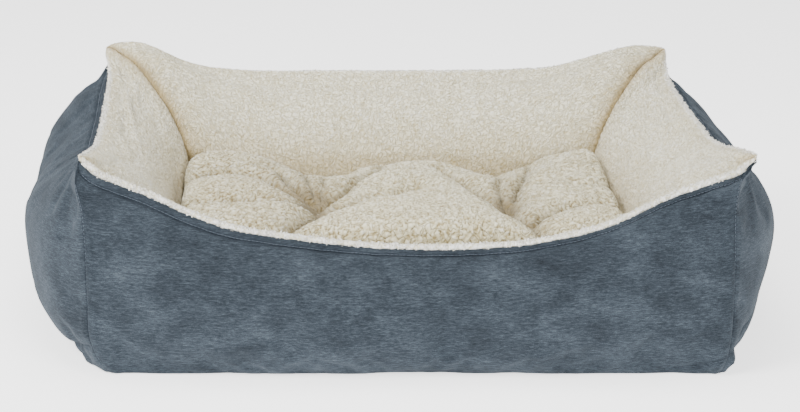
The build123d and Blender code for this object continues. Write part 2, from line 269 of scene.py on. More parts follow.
def noise(x, y, size, seed):
    """Smooth noise from -1 to 1 with lumps about size across."""
    x, y = x / size, y / size
    cell_x, cell_y = np.floor(x), np.floor(y)
    tx, ty = x - cell_x, y - cell_y
    tx, ty = tx * tx * (3 - 2 * tx), ty * ty * (3 - 2 * ty)
    low = random_at(cell_x, cell_y, seed) * (1 - tx) + random_at(cell_x + 1, cell_y, seed) * tx
    high = random_at(cell_x, cell_y + 1, seed) * (1 - tx) + random_at(cell_x + 1, cell_y + 1, seed) * tx
    return 2 * (low * (1 - ty) + high * ty) - 1


def curls(x, y, size, seed):
    """Sherpa pile from 0 in the cracks to 1 on top of each curl, with curls about size across."""
    x = x + noise(x, y, size * 1.1, seed + 1) * size * 0.35
    y = y + noise(x, y, size * 1.1, seed + 2) * size * 0.35
    x, y = x / size, y / size
    cell_x, cell_y = np.floor(x), np.floor(y)
    nearest = np.full(x.shape, 9.0)
    second = np.full(x.shape, 9.0)
    for step_x in (-1, 0, 1):
        for step_y in (-1, 0, 1):
            other_x, other_y = cell_x + step_x, cell_y + step_y
            away = np.hypot(other_x + 0.5 + 0.8 * (random_at(other_x, other_y, seed) - 0.5) - x,
                            other_y + 0.5 + 0.8 * (random_at(other_x, other_y, seed + 3) - 0.5) - y)
            second = np.minimum(second, np.maximum(nearest, away))
            nearest = np.minimum(nearest, away)
    crack = 1 - np.exp(-(second - nearest) / 0.22)
    dome = np.clip(1 - nearest * nearest * 0.9, 0, 1)
    return crack * (0.35 + 0.65 * dome)


def pile_height(x, y, size, seed):
    """Large curls with small ones on them, from 0 to 1."""
    return 0.68 * curls(x, y, size, seed) + 0.32 * curls(x, y, size * 0.45, seed + 31)


def xyz(x, y, z):
    """Points from coordinates, each an array or one number for all."""
    return np.stack(np.broadcast_arrays(x, y, z), -1)


def distance_to(line, x, y):
    """Distance from each place to a polyline."""
    best = np.full(x.shape, 1e6)
    for (ax, ay), (bx, by) in zip(line[:-1], line[1:]):
        run_x, run_y = bx - ax, by - ay
        share = np.clip(((x - ax) * run_x + (y - ay) * run_y) / (run_x ** 2 + run_y ** 2), 0, 1)
        best = np.minimum(best, np.hypot(x - ax - share * run_x, y - ay - share * run_y))
    return best


def fade(value, full, none):
    """1 up to full and 0 from none on, smoothly between."""
    t = np.clip((none - value) / (none - full), 0, 1)
    return t * t * (3 - 2 * t)


def normals(points):
    """Unit normals of a grid of points, rows by columns by xyz."""
    across = np.gradient(points, axis=1)
    up = np.gradient(points, axis=0)
    normal = np.cross(across, up)
    return normal / np.maximum(np.linalg.norm(normal, axis=2, keepdims=True), 1e-9)


def spline_matrix(count_in, count_out):
    """Weights of a Catmull-Rom curve that turn count_in values into count_out."""
    place = np.linspace(0, count_in - 1, count_out)
    i = np.clip(np.floor(place).astype(int), 0, count_in - 2)
    t = place - i
    weights = np.zeros((count_out, count_in))
    rows = np.arange(count_out)
    parts = [(-1, -t / 2 + t * t - t ** 3 / 2), (0, 1 - 2.5 * t * t + 1.5 * t ** 3),
             (1, t / 2 + 2 * t * t - 1.5 * t ** 3), (2, -t * t / 2 + t ** 3 / 2)]
    for step, weight in parts:
        np.add.at(weights, (rows, np.clip(i + step, 0, count_in - 1)), weight)
    return weights


def finer(grid, rows, columns):
    """The same surface with more rows and columns."""
    return np.einsum("ri,ijc,kj->rkc", spline_matrix(grid.shape[0], rows), grid,
                     spline_matrix(grid.shape[1], columns), optimize=True)


def cloth_coordinates(grid):
    """Place of each point in its flat cloth: along its row from the middle, and down its column."""
    along = np.cumsum(np.linalg.norm(np.diff(grid, axis=1, prepend=grid[:, :1]), axis=2), axis=1)
    down = np.cumsum(np.linalg.norm(np.diff(grid, axis=0, prepend=grid[:1]), axis=2), axis=0)
    middle = grid.shape[1] // 2
    return along - along[:, middle:middle + 1], down


# ---------------------------------------------------------------- meshes
def in_scene(name, data):
    """A new object in the scene."""
    made = bpy.data.objects.new(name, data)
    bpy.context.scene.collection.objects.link(made)
    return made


def make_mesh(name, points, faces, marks=None):
    """An object from points in millimetres, with named numbers or vectors on its points."""
    mesh = bpy.data.meshes.new(name)
    mesh.from_pydata((np.asarray(points) * MM).tolist(), [], faces)
    for mark, values in (marks or {}).items():
        sort, field = ("FLOAT", "value") if np.ndim(values) == 1 else ("FLOAT_VECTOR", "vector")
        mesh.attributes.new(mark, sort, "POINT").data.foreach_set(field, np.ravel(values).astype(float))
    mesh.polygons.foreach_set("use_smooth", [True] * len(mesh.polygons))
    mesh.validate()
    mesh.update()
    return in_scene(name, mesh)


def grid_faces(rows, columns, first=0, flip=False, keep=None):
    """Quads of a grid whose points are numbered row by row."""
    a = first + np.arange(rows - 1)[:, None] * columns + np.arange(columns - 1)
    quads = np.stack([a, a + 1, a + columns + 1, a + columns], -1)
    quads = quads.reshape(-1, 4) if keep is None else quads[keep]
    return (quads[:, ::-1] if flip else quads).tolist()


def tube_faces(rings, around, first=0, flip=False):
    """Faces of a tube made of rings of points, with a flat cap at each end."""
    a = first + np.arange(rings - 1)[:, None] * around + np.arange(around)
    b = np.roll(a, -1, axis=1)
    corners = (a, a + around, b + around, b) if flip else (a, b, b + around, a + around)
    start = list(range(first, first + around))
    end = list(range(first + (rings - 1) * around, first + rings * around))
    caps = [start, end[::-1]] if flip else [start[::-1], end]
    return np.stack(corners, -1).reshape(-1, 4).tolist() + caps


def copies(shape, count, size):
    """The faces of count copies of a shape that has size points."""
    return [tuple(k * size + corner for corner in face) for k in range(count) for face in shape]


def edge_loop(rows, columns, step, first=0):
    """Point numbers round the edge of a grid, one list for each step along it."""
    number = first + np.arange(rows * columns).reshape(rows, columns)
    sides = (number[0], number[:, -1], number[-1, ::-1], number[::-1, 0])
    return [side[i:i + step + 1].tolist() for side in sides for i in range(0, len(side) - 1, step)]


def shell(name, front, back, step, marks):
    """A closed cloth: a fine front, a back with one point for every step, and the rim between."""
    rows, columns = front.shape[:2]
    back_rows, back_columns = back.shape[:2]
    count, back_count = rows * columns, back_rows * back_columns
    faces = grid_faces(rows, columns) + grid_faces(back_rows, back_columns, count, flip=True)
    rims = zip(edge_loop(rows, columns, step), edge_loop(back_rows, back_columns, 1, count))
    faces += [fine[::-1] + coarse for fine, coarse in rims]
    marks = {mark: np.concatenate([values.reshape(count, -1),
                                   values[::step, ::step].reshape(back_count, -1)]).squeeze()
             for mark, values in marks.items()}
    return make_mesh(name, np.concatenate([front.reshape(-1, 3), back.reshape(-1, 3)]), faces, marks)


# ---------------------------------------------------------------- cloth simulation
CLOTH_SETTINGS = {"quality": 6, "mass": 0.25, "tension_stiffness": 12, "compression_stiffness": 12,
                  "shear_stiffness": 4, "bending_stiffness": 0.4, "use_pressure": True}
SETTLE_STEPS = 20
SETTLE_CAP = 4.0


def held_edges(grid, first, last):
    """1 at the points that stay put: the first and last rows, and both end columns."""
    held = np.zeros(grid.shape[:2])
    held[:first] = held[-last:] = 1
    held[:, :1] = held[:, -1:] = 1
    return held


def settle(rest, held, pressure, slack):
    """The grid after it has hung as cloth under air pressure, with no point moved more than the cap."""
    piece = make_mesh("settling", rest.reshape(-1, 3), grid_faces(*rest.shape[:2]))
    group = piece.vertex_groups.new(name="held")
    group.add(np.nonzero(held.ravel())[0].tolist(), 1.0, "REPLACE")
    cloth = piece.modifiers.new("cloth", "CLOTH")
    for name, value in CLOTH_SETTINGS.items():
        setattr(cloth.settings, name, value)
    cloth.settings.uniform_pressure_force = pressure
    cloth.settings.shrink_min = -slack
    cloth.settings.vertex_group_mass = group.name
    cloth.settings.effector_weights.gravity = 0.0
    cloth.point_cache.frame_start = 1
    cloth.point_cache.frame_end = SETTLE_STEPS
    for step in range(1, SETTLE_STEPS + 1):
        bpy.context.scene.frame_set(step)
    seen = piece.evaluated_get(bpy.context.evaluated_depsgraph_get()).to_mesh()
    moved = np.zeros(len(seen.vertices) * 3)
    seen.vertices.foreach_get("co", moved)
    bpy.context.scene.frame_set(1)
    mesh = piece.data
    bpy.data.objects.remove(piece)
    bpy.data.meshes.remove(mesh)
    shift = moved.reshape(rest.shape) / MM - rest
    far = np.linalg.norm(shift, axis=2, keepdims=True)
    return rest + shift * np.minimum(1, SETTLE_CAP / np.maximum(far, 1e-9))


# ---------------------------------------------------------------- materials
def colour(red, green, blue):
    """A display colour from 0 to 255 as the linear colour that a shader takes."""
    shares = [c / 255 for c in (red, green, blue)]
    return [c / 12.92 if c <= 0.04045 else ((c + 0.055) / 1.055) ** 2.4 for c in shares] + [1.0]


class Shader:
    """A material under construction, with short calls for the nodes that it is made of."""

    def __init__(self, name, **values):
        self.material = bpy.data.materials.new(name)
        self.material.use_nodes = True
        self.tree = self.material.node_tree
        self.surface = self.tree.nodes["Principled BSDF"]
        for socket, value in values.items():
            self.surface.inputs[socket.replace("_", " ")].default_value = value

    def feed(self, socket, value):
        """Wires another node's output to a socket, or sets the socket to a number or colour."""
        if isinstance(value, bpy.types.NodeSocket):
            self.tree.links.new(value, socket)
        else:
            socket.default_value = value

    def node(self, sort, inputs=None, **settings):
        made = self.tree.nodes.new(sort)
        for name, value in settings.items():
            setattr(made, name, value)
        for socket, value in (inputs or {}).items():
            self.feed(made.inputs[socket], value)
        return made

    def place(self):
        return self.node("ShaderNodeTexCoord").outputs["Object"]

    def mark(self, name, output):
        return self.node("ShaderNodeAttribute", attribute_name=name).outputs[output]

    def noise(self, vector, scale, detail=2.0, rough=0.5, distort=0.0):
        """Noise at a scale, or stretched by a scale for each axis."""
        if isinstance(scale, tuple):
            vector = self.node("ShaderNodeMapping", {"Vector": vector, "Scale": scale}).outputs["Vector"]
            scale = 1.0
        return self.node("ShaderNodeTexNoise", {"Vector": vector, "Scale": scale, "Detail": detail,
                                                "Roughness": rough, "Distortion": distort}).outputs["Fac"]

    def maths(self, operation, *values):
        return self.node("ShaderNodeMath", dict(enumerate(values)), operation=operation).outputs[0]

    def total(self, *parts, shift=0.0):
        """The sum of outputs times their weights, plus a shift."""
        for output, weight in parts:
            shift = self.maths("MULTIPLY_ADD", output, weight, shift)
        return shift

    def ramp(self, factor, stops):
        made = self.node("ShaderNodeValToRGB", {"Fac": factor})
        elements = made.color_ramp.elements
        while len(elements) < len(stops):
            elements.new(0.5)
        for element, (place, tint) in zip(elements, stops):
            element.position = place
            element.color = tint
        return made.outputs["Color"]

    def mix(self, factor, first, second):
        made = self.node("ShaderNodeMix", data_type="RGBA")
        sockets = [s for s in made.inputs if s.enabled]
        for socket, value in zip(sockets, (factor, first, second)):
            self.feed(socket, value)
        return [s for s in made.outputs if s.enabled][0]

    def finish(self, tint, height, depth):
        """Paints the surface, raises its bump, and gives back the material."""
        self.feed(self.surface.inputs["Base Color"], tint)
        bump = self.node("ShaderNodeBump", {"Height": height, "Distance": depth, "Strength": 1.0})
        self.feed(self.surface.inputs["Normal"], bump.outputs["Normal"])
        return self.material


def chenille_material():
    """Blue chenille: fine yarns across, longer slubs and cloudy pile, with painted shade from the shade mark
    at the seams, the hem, the base and in the creases.
    """
    look = Shader("chenille", Roughness=0.92, Sheen_Weight=0.1, Sheen_Roughness=0.45,
                  Sheen_Tint=colour(190, 205, 220), Specular_IOR_Level=0.15)
    cloth = look.mark("cloth", "Vector")
    yarns = look.noise(cloth, (200, 950, 1), 3.0, 0.65)
    slubs = look.noise(cloth, (76, 420, 1), 2.0, 0.6)
    clouds = look.noise(cloth, (14, 24, 1), 4.0, 0.6, 0.5)
    weave = look.noise(cloth, (1100, 1100, 1), 1.0)
    grain = look.total((yarns, 0.6), (slubs, 0.4))
    tone = look.total((grain, 0.75), (clouds, 0.36), (weave, 0.3), shift=-0.15)
    pile = look.ramp(tone, [(0.38, colour(25, 29, 34)), (0.54, colour(46, 53, 60)),
                            (0.66, colour(67, 75, 83)), (0.8, colour(98, 107, 114))])
    # Painted shade: the shade mark draws the colour towards dark blue at the seams, hem, base and creases.
    dark = look.maths("MULTIPLY", look.mark("shade", "Fac"), 0.62)
    tint = look.mix(dark, pile, colour(26, 32, 39))
    return look.finish(tint, look.total((grain, 1.0), (weave, 0.35)), 0.0008)


def sherpa_material(name, curl, crack, deep, crown, fold_shade):
    """Sherpa pile with fine fibres; painted shade darkens it between the curls and down in the folds, and
    painted light brightens the curls' tops.
    """
    look = Shader(name, Roughness=0.95, Sheen_Weight=0.25, Sheen_Roughness=0.5,
                  Sheen_Tint=colour(255, 250, 238), Specular_IOR_Level=0.12)
    place = look.place()
    fibres = look.noise(place, 1400.0, 3.0, 0.65, 0.6)
    patches = look.noise(place, 30.0, 3.0, 0.55)
    loops = look.noise(look.mark("cloth", "Vector"), 1000.0 / curl, 1.5, 0.5, 0.9)
    gaps = look.maths("ABSOLUTE", look.maths("SUBTRACT", loops, 0.5))
    locks = look.maths("MINIMUM", look.maths("MULTIPLY", gaps, 12.0), 1.0)
    # Painted light and shade: the wool mark runs from the crack colour, painted shade between the curls, to
    # the crown, painted light on their tops; the locks draw dark squiggles, painted shade in the gaps
    # between locks; fibres and patches vary the tone at random.
    tone = look.total((look.mark("wool", "Fac"), 0.62), (locks, 0.38), (fibres, 0.3), (patches, 0.25),
                      shift=-0.275)
    pile = look.ramp(tone, [(0.1, crack), (0.42, deep), (0.8, crown), (1.0, colour(253, 251, 244))])
    # Painted shade: the shade mark draws the colour towards the fold shade colour in folds, at seams and
    # beside the cushion.
    dark = look.maths("MULTIPLY", look.mark("shade", "Fac"), 0.85)
    return look.finish(look.mix(dark, pile, fold_shade), look.total((locks, 1.0), (fibres, 0.6)), 0.0012)


def woven_material(name, dark, light, pitch):
    """Plain woven cloth with a fine over-and-under weave."""
    look = Shader(name, Roughness=0.85, Sheen_Weight=0.1, Specular_IOR_Level=0.25)
    place = look.place()
    weave = look.noise(place, 1000.0 / pitch, 1.0)
    tone = look.total((weave, 0.6), (look.noise(place, 18.0, 3.0), 0.4))
    return look.finish(look.ramp(tone, [(0.35, dark), (0.65, light)]), weave, 0.0004)


def thread_material(name, dark, light):
    """Twisted sewing thread."""
    look = Shader(name, Roughness=0.6, Sheen_Weight=0.2, Specular_IOR_Level=0.4)
    twist = look.noise(look.place(), 2500.0, 1.0)
    return look.finish(look.ramp(twist, [(0.4, dark), (0.6, light)]), twist, 0.0002)


def metal_material(name, tint):
    """Plated zip metal, brushed and slightly worn."""
    look = Shader(name, Roughness=0.35, Metallic=1.0)
    place = look.place()
    brush = look.noise(place, (300, 3000, 3000), 2.0)
    wear = look.noise(place, 260.0, 3.0)
    look.feed(look.surface.inputs["Roughness"], look.total((wear, 0.25), shift=0.25))
    worn = [c * 0.7 for c in tint[:3]] + [1.0]
    return look.finish(look.ramp(wear, [(0.35, worn), (0.65, tint)]), brush, 0.00006)


CHENILLE_LOOK = chenille_material()
# For each sherpa: curl size; crack colour, painted shade between the curls; deep and crown colours of the
# pile, the crown painted light on the curls' tops; and the fold shade colour, painted shade in folds and
# corners.
WALL_SHERPA = sherpa_material("wall_sherpa", 5.5, colour(184, 166, 122), colour(231, 221, 184),
                              colour(252, 247, 223), colour(176, 152, 100))
CUSHION_SHERPA = sherpa_material("cushion_sherpa", 8.0, colour(116, 96, 58), colour(198, 184, 141),
                                 colour(245, 239, 209), colour(124, 107, 72))
FIBRE = woven_material("fibre_fill", colour(215, 215, 210), colour(245, 245, 242), 6.0)
BLUE_THREAD = thread_material("blue_thread", colour(52, 62, 74), colour(84, 96, 110))
CREAM_THREAD = thread_material("cream_thread", colour(196, 184, 156), colour(230, 222, 200))
BASE_CLOTH = woven_material("base_cloth", colour(40, 44, 50), colour(66, 72, 80), 1.2)
LINING = woven_material("lining_cloth", colour(205, 200, 188), colour(228, 224, 214), 0.8)
TAPE = woven_material("zip_tape", colour(50, 58, 70), colour(78, 88, 102), 0.6)
COIL = thread_material("zip_coil", colour(42, 50, 62), colour(70, 80, 94))
METAL = metal_material("zip_metal", colour(190, 192, 196))
RUBBER = thread_material("grip_rubber", colour(24, 26, 29), colour(40, 42, 46))


def finish_piece(piece, body, look, nodes=()):
    """Give a piece its body and its material, and hide the CAD nodes that it stands for."""
    piece.data.materials.clear()
    piece.data.materials.append(look)
    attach(piece, body)
    if nodes:
        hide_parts(*nodes)
    return piece


# ---------------------------------------------------------------- the four sides
# A side is seen from outside: along runs from its left corner to its right one.
TURN = {"front": (1, 0, 0, -1), "rear": (-1, 0, 0, 1), "right": (0, 1, 1, 0), "left": (0, -1, -1, 0)}
ENDS = {"front": ("front_left", "front_right"), "right": ("front_right", "rear_right"),
        "rear": ("rear_right", "rear_left"), "left": ("rear_left", "front_left")}


def to_world(side, along, out, height):
    """Points from distance along a side, distance out from the middle, and height."""
    x_along, y_along, x_out, y_out = TURN[side]
    return xyz(along * x_along + out * x_out, along * y_along + out * y_out, height)


def to_side(side, points):
    """The same the other way round, for points as x, y and height."""
    x_along, y_along, x_out, y_out = TURN[side]
    x, y, height = np.moveaxis(np.asarray(points, float), -1, 0)
    return xyz(x * x_along + y * y_along, x * x_out + y * y_out, height)


def kind(side):
    return side if side in ("front", "rear") else "side"


def rim_height(side, along):
    """Height of the rim seam at a distance along the side."""
    return level(RIM[side], along * (-1 if side in ("rear", "left") else 1))


def from_ends(along):
    """Distance of each point from the nearer end of its row."""
    return np.minimum(along - along[:, :1], along[:, -1:] - along)


def outer_surface(side, rows, columns):
    """The chenille panel as a grid, from the base up to the rim, before it is creased."""
    share = np.linspace(0, 1, rows)
    left, right = (to_side(side, smooth(CORNER_SEAMS[corner], share)) for corner in ENDS[side])
    middle = smooth(OUTER_MIDDLE[side], share)
    u = np.linspace(-1, 1, columns)
    bulge = 1 - np.abs(u) ** np.where(u < 0, *SQUARENESS[side])
    mix = (u[None, :] + 1) / 2
    along = left[:, :1] * (1 - mix) + right[:, :1] * mix
    corner_out = left[:, 1:2] * (1 - mix) + right[:, 1:2] * mix
    out = corner_out + bulge * (middle[:, :1] - corner_out)
    corner_high = (left[:, 2:] / left[-1, 2]) * (1 - mix) + (right[:, 2:] / right[-1, 2]) * mix
    high = corner_high + bulge * (middle[:, 1:] / middle[-1, 1] - corner_high)
    return to_world(side, along, out, high * rim_height(side, along[-1])[None, :])


def inner_corner(name):
    """The corner's inner seam, with the rolled edge above it, as x, y and height."""
    tip = np.array(CORNER_SEAMS[name][-1], float)
    x_way, y_way = np.sign(tip[:2])
    rolled = []
    for step, (out, up) in enumerate(ROLLED_EDGE):
        out = out * TIP_DIAGONAL
        rolled.append(tip + [x_way * (out + TIP_ROLL[name] * min(step, 1)), y_way * out, up])
    return rolled + [(x * x_way, y * y_way, z) for x, y, z in INNER_CORNER[name.split("_")[0]]]


def inner_surface(side, rows, columns):
    """The sherpa panel as a grid, from the seam over the rolled edge and down to the deck."""
    left, right = (to_side(side, inner_corner(corner)) for corner in ENDS[side])
    tip_left, tip_right = (to_side(side, CORNER_SEAMS[corner][-1])[0] for corner in ENDS[side])
    seam_out, seam_high = OUTER_MIDDLE[side][-1]
    rolled = np.array(ROLLED_EDGE)
    middle = np.concatenate([rolled + [seam_out, seam_high], INNER_MIDDLE[kind(side)]])
    on_roll = np.arange(len(middle)) < len(rolled)
    surface = np.zeros((rows, columns, 3))
    for c, u in enumerate(np.linspace(-1, 1, columns)):
        mix = (u + 1) / 2
        corner = left * (1 - mix) + right * mix
        rim = rim_height(side, tip_left * (1 - mix) + tip_right * mix)[0]
        weight = 1 - abs(u) ** np.where(on_roll, SQUARENESS[side][int(u > 0)], INNER_SQUARENESS)
        out = corner[:, 1] + weight * (middle[:, 0] - corner[:, 1])
        high = ((1 - weight) * corner[:, 2] / TIP_HEIGHT + weight * middle[:, 1] / seam_high) * rim
        high[on_roll] = rim + rolled[:, 1]
        surface[:, c] = smooth(to_world(side, corner[:, 0], out, high), np.linspace(0, 1, rows))
    return surface


# ---------------------------------------------------------------- sherpa walls
def roughen(surface, size, height, seed, edge, shade):
    """Sherpa pile raised from a fine grid, finer towards a rolled edge, with its material's marks; the wool
    mark paints shade in the cracks and light on the curls and the rolled edge.
    """
    along, down = cloth_coordinates(surface)
    pile = pile_height(along, down, size, seed)
    tall = height * (1 + 0.3 * noise(along, down, size * 5, seed + 9))
    short = pile_height(along, down, EDGE_CURL, seed + 50)
    pile = pile * (1 - edge) + short * edge
    tall = tall * (1 - edge) + EDGE_PILE * edge
    tall = tall * (1 - fade(down, 1.5, 5))
    raised = surface + normals(surface) * (pile * tall)[..., None]
    cloth = xyz(along, down, 0) * MM
    # Painted light and shade: wool is low, dark, in the cracks and high, light, on the curls' tops and along
    # the rolled edge.
    return raised, {"wool": pile + 0.5 * edge, "shade": shade, "cloth": cloth}


def sherpa_cloth(name, fine, raised, marks):
    """Raised sherpa as a closed cloth, with a coarser back behind its grid."""
    back = (fine - normals(fine) * SHERPA * 0.5)[::BACK_STEP, ::BACK_STEP]
    return shell(name, raised, back, BACK_STEP, marks)


def edge_tufts(side, surface, down):
    """Loose curls of wool that stand out along the rolled edge of one wall."""
    count = TUFT_COUNT[kind(side)]
    number = np.arange(count)
    chance = [random_at(number, number * 0 + k, SIDES.index(side) * 7 + 3) for k in range(5)]
    column = (2 + chance[0] * (surface.shape[1] - 5)).astype(int)
    depth = TUFT_BAND[0] + (TUFT_BAND[1] - TUFT_BAND[0]) * chance[1]
    row = [np.interp(d, down[:, k], np.arange(len(down))) for d, k in zip(depth, column)]
    row = np.array(row).astype(int)
    root, away = surface[row, column], normals(surface)[row, column]
    turn = chance[2] * 2 * math.pi
    lean = np.cross(away, xyz(np.cos(turn), np.sin(turn), 0.3))
    length = TUFT_LENGTH[kind(side)] * (0.5 + 0.9 * chance[3])[:, None]
    thick = TUFT_THICK * (0.6 + 0.8 * chance[4])
    across = np.cross(away, lean)
    rings = []
    for rise, bend, width, _ in TUFT_RINGS:
        middle = root + away * length * rise + lean * length * bend
        for angle in np.arange(TUFT_SIDES) * 2 * math.pi / TUFT_SIDES:
            side_way = lean * math.cos(angle) + across * math.sin(angle)
            rings.append(middle + side_way * (thick * width)[:, None])
    points = np.stack(rings, 1).reshape(-1, 3)
    shape = tube_faces(len(TUFT_RINGS), TUFT_SIDES, flip=True)
    # Painted light and shade: each tuft's wool mark is darker at its root and lighter at its tip.
    wool = np.tile(np.repeat([ring[-1] for ring in TUFT_RINGS], TUFT_SIDES), count)
    piece = make_mesh(f"{side}_edge_wool", points, copies(shape, count, len(rings)),
                      {"wool": wool, "shade": np.zeros_like(wool), "cloth": points * MM})
    finish_piece(piece, "surround", WALL_SHERPA)


def wall_panel(side):
    """One sherpa wall: settled as cloth, then given its pile."""
    columns = WALL_COLUMNS[kind(side)]
    coarse = inner_surface(side, COARSE_ROWS, (columns - 1) // WALL_STEP + 1)
    coarse = settle(coarse, held_edges(coarse, 4, 2), pressure=-1.0, slack=0.004)
    fine = finer(coarse, WALL_ROWS, columns)
    along, down = cloth_coordinates(fine)
    ends, height = from_ends(along), fine[..., 2]
    puff = PUFF * (np.exp(-ends / PUFF_FAR) - np.exp(-ends / PUFF_NEAR))
    puff = puff * (1 - fade(down, 6, 26)) * (1 - fade(height, 90, 125))
    fine = fine + normals(fine) * puff[..., None]
    edge = fade(down, 9, 17)
    # Painted shade: darker beside the corner seams and above the cushion, and less of it low down where the
    # cushion hides the wall.
    shade = 0.95 * np.exp(-ends / 11) * (1 - fade(down, 4, 14))
    shade += (0.36 * fade(height, 118, 180) + 0.25 * fade(height, 112, 134)) * (1 - edge)
    shade *= 1 - 0.6 * fade(height, 70, 110)
    pile = 1 - 0.8 * fade(ends, 0, 6)
    tall = WALL_PILE * pile
    if side == "rear":
        # Painted shade on the rear wall beside its corner seams, and broadly low down towards its rear-left
        # corner.
        shade += 0.4 * np.exp(-ends / 24) * (1 - fade(down, 30, 90))
        shade += 0.12 * np.exp((along - along[:, -1:]) / 90) * fade(height, 120, 200)
    if kind(side) == "side":
        # Painted shade in a soft groove under the rolled edge of each side wall.
        shade += 0.2 * np.exp(-((down - 18) / 6) ** 2) * (1 - fade(ends, 0, 20))
        tall = tall * (1 + 0.7 * (1 - fade(height, 105, 130)))
    raised, marks = roughen(fine, WALL_CURL, tall, SIDES.index(side) * 17 + 5, edge * pile,
                            np.clip(shade, 0, 1))
    if kind(side) == "side":
        # Side walls: the wool mark is stretched, for darker painted shade in the cracks and lighter painted
        # light on the tops.
        marks["wool"] = marks["wool"] * 1.3 - 0.15
    edge_tufts(side, fine, down)
    piece = sherpa_cloth(f"{side}_sherpa_wall", fine, raised, marks)
    return finish_piece(piece, "surround", WALL_SHERPA, [f"{side}_inner_panel"])


# ---------------------------------------------------------------- chenille panels
def hem_line(surface):
    """Distance of each point below the rim, measured along its column."""
    steps = np.linalg.norm(np.diff(surface, axis=0), axis=2)
    below = np.cumsum(steps[::-1], axis=0)[::-1]
    return np.concatenate([below, np.zeros((1, surface.shape[1]))])


def crease_panel(surface, side):
    """Puckers along the hem and the base, the drawn-in hem seam, soft lumps and named creases; and painted
    shade in the hem groove, on the band above it, at the corner seams, along the base and in the creases.
    """
    below = hem_line(surface)
    along, up = cloth_coordinates(surface)
    seed = SIDES.index(side) * 23 + 2
    base = surface[..., 2]
    ends = from_ends(along)
    groove = np.exp(-((below - HEM) / 2.4) ** 2)
    shift = -2.7 * groove + 1.3 * np.exp(-((below - HEM / 2) / 3.5) ** 2)
    shift += 1.1 * noise(along, up * 0, 13, seed) * np.exp(-np.abs(below - HEM) / 11)
    shift += 1.8 * noise(along, up * 0.5, 36, seed + 1) * np.exp(-base / 14) * (1 - fade(ends, 4, 30))
    inside = (1 - fade(ends, 8, 60)) * (1 - fade(below, 14, 60)) * (1 - fade(base, 4, 40))
    shift += inside * (2.2 * noise(along, up, 90, seed + 3) + 0.9 * noise(along, up, 34, seed + 4))
    loose = 1 - fade(ends, 0, 8)
    puckers = 0.8 * noise(along * 0.35, up, 11, seed + 5) * np.exp(-ends / 26) * (1 - fade(ends, 0, 6))
    shift += (1 - fade(below, 18, 50)) * (puckers + 1.4 * np.exp(-((ends - 6) / 4) ** 2))
    # Painted shade: darker in the hem groove and the band above it, at the corner seams and towards the
    # base.
    shade = 0.75 * groove * (1 - 0.6 * np.exp(-ends / 12)) + 0.25 * fade(below, HEM, HEM + 3)
    shade += 0.6 * np.exp(-ends / 1.8) + 0.35 * np.exp(-base / 6)
    place = to_side(side, surface)
    for depth, width, line in CREASES[side]:
        away = distance_to(line, place[..., 0], place[..., 2])
        shift -= depth * np.exp(-away / width) * loose
        # Painted shade along the crease.
        shade += depth / 9 * np.exp(-away / (width * 0.5))
    shift *= 1 - fade(ends, 0, 4)
    creased = surface + normals(surface) * shift[..., None]
    creased[..., 2] = np.maximum(creased[..., 2], 0.4)
    return creased, np.clip(shade, 0, 1)


def outer_panel(side):
    """One chenille panel: settled as cloth, creased, and given its thickness."""
    columns = PANEL_COLUMNS[kind(side)]
    coarse = outer_surface(side, COARSE_ROWS, (columns - 1) // PANEL_STEP + 1)
    held = held_edges(coarse, 1, 2)
    held[-7:, :4] = held[-7:, -4:] = 1
    smoothed = finer(settle(coarse, held, pressure=0.6, slack=0.01), PANEL_ROWS, columns)
    along, up = cloth_coordinates(smoothed)
    surface, shade = crease_panel(smoothed, side)
    cloth = xyz(along * MM, up * MM, SIDES.index(side))
    keep = zip_opening(surface) if side == "rear" else None
    piece = make_mesh(f"{side}_chenille_panel", surface.reshape(-1, 3),
                      grid_faces(PANEL_ROWS, columns, keep=keep),
                      {"cloth": cloth.reshape(-1, 3), "shade": shade.ravel()})
    thick = piece.modifiers.new("cloth_thickness", "SOLIDIFY")
    thick.thickness = CHENILLE * MM
    thick.offset = -1
    finish_piece(piece, "surround", CHENILLE_LOOK, [f"{side}_outer_panel"])
    return surface


# ---------------------------------------------------------------- zip opening in the rear panel
tapes_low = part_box("zip_tape_lower")[0] / MM
tapes_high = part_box("zip_tape_upper")[1] / MM
ZIP_LEFT, ZIP_RIGHT = tapes_low.x, tapes_high.x
ZIP_MIDDLE = (tapes_low + tapes_high) / 2


def zip_plane(z):
    """How far back the face of the cloth lies where it covers the zip's tapes."""
    return ZIP_MIDDLE.y + (z - ZIP_MIDDLE.z) * math.tan(math.radians(-ZIP_LEAN)) + ZIP_COVER


def zip_opening(surface):
    """Draws the cloth to the zip's tapes and to the opening's edges; True for each quad that stays."""
    x, z = surface[..., 0], surface[..., 2]
    across = (x > ZIP_LEFT) & (x < ZIP_RIGHT)
    near_x = fade(np.maximum(ZIP_LEFT - x, x - ZIP_RIGHT), 0, 25)
    edges = []
    for edge in (ZIP_MIDDLE.z - ZIP_OPENING, ZIP_MIDDLE.z + ZIP_OPENING):
        mean = np.array([row[inside].mean() for row, inside in zip(z, across)])
        edges.append(int(np.argmin(np.abs(mean - edge))))
        step = np.abs(np.arange(len(z)) - edges[-1])[:, None]
        z += (edge - z[edges[-1]])[None, :] * fade(step, 0, 4) * near_x
    near = near_x * fade(np.abs(z - ZIP_MIDDLE.z), 14, 34)
    surface[..., 1] += (zip_plane(z) - surface[..., 1]) * near
    keep = np.ones((len(z) - 1, z.shape[1] - 1), bool)
    keep[edges[0]:edges[1]] = ~(across[edges[0]:edges[1], :-1] & across[edges[0]:edges[1], 1:])
    return keep


